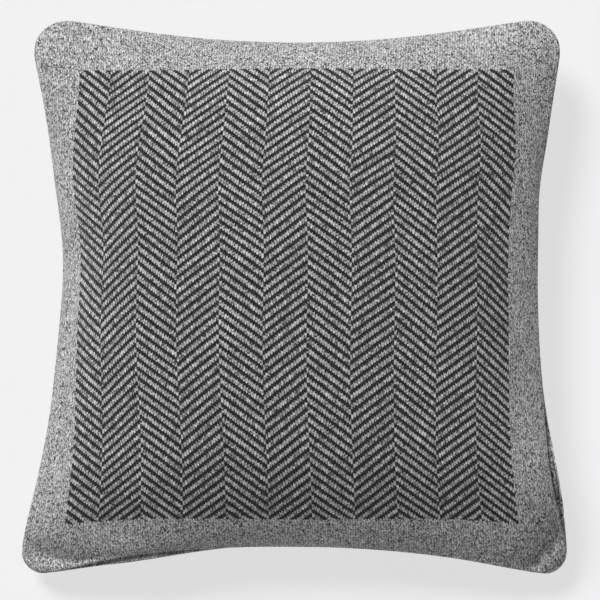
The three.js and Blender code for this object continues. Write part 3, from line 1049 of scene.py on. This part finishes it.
def knit_material(name, with_field):
    """Stockinette stitches of marled yarn, with the herringbone field or without it."""
    n = Nodes(name)
    stitch = stitch_space(n)
    across, height, leg = stitch[2:]
    up = n.math("FRACT", height)
    fuzz = n.noise(n.place(), FUZZ_SCALE)
    loft = stitch_loft(n, across, up, fuzz)
    # Painted shade between the wales and on the low parts of each stitch's yarn, and painted
    # light on its raised tops
    between = n.times(n.times(leg, 2.0), n.times(leg, 2.0))
    painted_stitch_shading = n.times(n.range(loft, 0.1, 0.9, 0.7, 1.1), n.range(between, 0.0, 1.0, 1.15, 0.6))
    value = n.times(yarn_value(n, stitch, up, with_field), painted_stitch_shading)
    # painted shade along the seam
    value = n.times(value, painted_seam_shade(n))
    n.bump(loft, 0.00045, 0.8)
    roughness = n.range(fuzz, 0.3, 0.7, 0.86, 0.98)
    return n.finish(n.vector(value, value, value), roughness, sheen=0.12, specular=0.15)


TICKING_THREAD = 0.0008  # metres from thread to thread
SATIN_THREAD = 0.0004
TAPE_PICK, TAPE_RIB = 0.0009, 0.0007
LOOP_PITCH = 1 / 40  # of the overlocking, in turns of its own coordinate


def toned(n, noise, lightness, roughness, height=None, low=0.0, shade=1.0, blue=1.0, **other):
    """A grey that varies with a noise, and is shaded where a height nears its least, low."""
    tone = n.noise(n.place(), *noise)
    value = n.range(tone, 0.3, 0.7, *lightness)
    if height is not None:
        value = n.times(value, n.range(height, low, 1.0, shade, 1.0))
    color = n.vector(value, value, n.times(value, blue))
    return n.finish(color, n.range(tone, 0.3, 0.7, *roughness), **other)


def weave(n, x, y, x_pitch, y_pitch):
    """The height of threads that pass over and under each other, from 0 to 1."""
    crossed = n.times(n.wave(x, x_pitch), n.wave(y, y_pitch))
    return n.math("MULTIPLY_ADD", crossed, 0.5, 0.5)


def ticking_material():
    """Off-white cotton in a plain weave."""
    n = Nodes("cotton_ticking")
    height = weave(n, *n.cut(), TICKING_THREAD / CUT, TICKING_THREAD / CUT)
    n.bump(height, 0.0002, 0.6)
    return toned(n, (160.0, 3.0), (0.78, 0.88), (0.8, 0.95), height, shade=0.9, blue=0.96,
                 sheen=0.05, specular=0.2)


def tape_material():
    """Woven zip tape, with fine ribs along it."""
    n = Nodes("zip_tape_woven")
    height = weave(n, *n.parts(n.place()), TAPE_PICK, TAPE_RIB)
    n.bump(height, 0.0002, 0.6)
    return toned(n, (220.0, 3.0), (0.15, 0.21), (0.75, 0.9), height, shade=0.8, sheen=0.05,
                 specular=0.2)


def nylon_material():
    return toned(Nodes("zip_nylon_coil"), (300.0, 2.0), (0.09, 0.14), (0.35, 0.5))


def enamel_material():
    """Grey enamelled zinc, with scuffs."""
    n = Nodes("zip_enamel")
    scuff = n.noise(n.place(), 900.0, 4.0, 0.7)
    worn = n.range(scuff, 0.58, 0.70, 0.0, 1.0)
    color = n.mix(worn, grey(0.13), (0.42, 0.42, 0.40, 1), kind="RGBA")
    n.bump(scuff, 0.00005, 0.4)
    return n.finish(color, n.range(scuff, 0.3, 0.7, 0.25, 0.5), metallic=0.6)


def satin_material():
    """Blank white satin, with the fine lines of its floating threads."""
    n = Nodes("label_satin")
    floats = n.wave(n.cut()[0], SATIN_THREAD / CUT)
    n.bump(floats, 0.00005, 0.4)
    return toned(n, (120.0, 2.0), (0.72, 0.82), (0.35, 0.5), floats, -1.0, 0.94, sheen=0.1)


def fibre_material():
    """Cloudy white polyester fibre."""
    n = Nodes("polyester_fibre")
    cloud = (60.0, 8.0, 0.75)
    n.bump(n.noise(n.place(), *cloud), 0.003, 0.8)
    return toned(n, cloud, (0.78, 0.93), (0.9, 1.0), sheen=0.3, specular=0.1)


def overlock_material():
    """Loops of grey thread round the cut edge."""
    n = Nodes("overlock_thread")
    loops = n.wave(n.cut()[0], LOOP_PITCH)
    n.bump(loops, 0.0004, 0.8)
    return toned(n, (400.0, 2.0), (0.25, 0.42), (0.8, 0.95), loops, -1.0, 0.6, sheen=0.1,
                 specular=0.2)


# ---- putting it together ----


def dress(piece, material, slot, *nodes):
    """Gives a piece its material and its place in the frame, for the CAD nodes it replaces."""
    piece.data.materials.append(material)
    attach(piece, "pillow")
    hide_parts(*nodes)
    return piece


def repaint(node, material):
    """Gives a CAD piece that is kept a better material."""
    shown = frame["nodes"][node]
    for slot in shown.material_slots:
        slot.material = material
    if not shown.material_slots:
        shown.data.materials.append(material)


def make_cover(form, place):
    front = dress(make_front(form), knit_material("herringbone_knit", True),
                  "herringbone_knit", "cover_front")
    marl_knit = knit_material("marl_knit", False)
    back = make_back(form, place, "cover_back_knit", 1, edge_rows(MAIN_ROWS, MAIN_LENGTH),
                     coarse_rows(MAIN_INNER_ROWS))
    strip = make_back(form, place, "cover_back_strip_knit", -1,
                      edge_rows(STRIP_ROWS, STRIP_LENGTH), coarse_rows(STRIP_INNER_ROWS))
    dress(back, marl_knit, "marl_knit", "cover_back")
    dress(strip, marl_knit, "marl_knit", "cover_back_strip")


def make_insert(form, place):
    ticking = ticking_material()
    u, v = grid_of(coarse_lines(INSERT_CELLS), coarse_lines(INSERT_CELLS))
    front = make_ticking(form, place, "insert_front_ticking", 1, u, v)
    back = make_ticking(form, place, "insert_back_ticking", -1, u, v)
    fill = make_fill(form, place, u, v)
    dress(front, ticking, "cotton_ticking", "insert_front")
    dress(back, ticking, "cotton_ticking", "insert_back")
    dress(fill, fibre_material(), "polyester_fibre", "insert_fill")


def make_sewn_parts(form, place):
    dress(make_allowance(form), overlock_material(), "overlock_thread", "seam_allowance")
    label = dress(make_label(form, place), satin_material(), "label_satin", "care_label")


def make_zip(place):
    nylon = nylon_material()
    for name, side in (("zip_coil_upper", -1), ("zip_coil_lower", 1)):
        dress(make_coil(place, name, side), nylon, "zip_nylon", name)
    tape, enamel = tape_material(), enamel_material()
    for name in ("zip_tape_upper", "zip_tape_lower"):
        repaint(name, tape)
    for name in ("zip_slider", "zip_pull", "zip_top_stop_upper", "zip_top_stop_lower",
                 "zip_bottom_stop"):
        repaint(name, enamel)


def make_pillow():
    form, place = Form(), ZipPlace()
    make_cover(form, place)
    make_insert(form, place)
    make_sewn_parts(form, place)
    make_zip(place)


# ---- floor, light and camera ----

FLOOR_HALF = 6.0  # half its side
FLOOR_BELOW = 0.0003  # keeps it clear of the pillow's underside
FLOOR_GREY = 0.24
FLOOR_GLOW = 0.655  # evens out the floor, as the photo's bright studio does


def make_floor():
    corners = np.array([(-1, -1, 0), (1, -1, 0), (1, 1, 0), (-1, 1, 0)])
    floor = add_mesh("floor", corners * FLOOR_HALF, [(0, 1, 2, 3)])
    n = Nodes("floor_pale")
    n.finish(grey(FLOOR_GREY), 0.95, specular=0.0)
    n.shader.inputs["Emission Color"].default_value = grey(1.0)
    n.shader.inputs["Emission Strength"].default_value = FLOOR_GLOW
    floor.data.materials.append(n.material)
    floor.location.z = -FLOOR_BELOW


SUN_FROM = Vector((-0.39, 0.63, 0.71))  # the key light's direction
SUN_STRENGTH = 3.2
SUN_SOFTNESS = math.radians(21)
SKY_STRENGTH = 0.25


def make_light():
    lamp = bpy.data.lights.new("key", "SUN")
    lamp.energy = SUN_STRENGTH
    lamp.angle = SUN_SOFTNESS
    show("key", lamp).rotation_euler = SUN_FROM.to_track_quat("Z", "Y").to_euler()
    world = bpy.data.worlds.new("studio")
    world.use_nodes = True
    background = world.node_tree.nodes["Background"]
    background.inputs["Color"].default_value = grey(1.0)
    background.inputs["Strength"].default_value = SKY_STRENGTH
    bpy.context.scene.world = world
    bpy.context.scene.view_settings.view_transform = "Standard"


CAMERA_DISTANCE = 3.0  # above the seam
FRAME_WIDTH = 0.540  # what the picture spans at the seam's height
VIEW_CENTRE = (0.00585, -0.00225)
SENSOR_WIDTH = 36  # millimetres


def make_camera():
    lens = bpy.data.cameras.new("camera")
    lens.sensor_width = SENSOR_WIDTH
    lens.lens = SENSOR_WIDTH * CAMERA_DISTANCE / FRAME_WIDTH
    camera = show("camera", lens)
    camera.location = (*VIEW_CENTRE, SEAM_HEIGHT + CAMERA_DISTANCE)
    bpy.context.scene.camera = camera


make_pillow()
make_floor()
make_light()
make_camera()
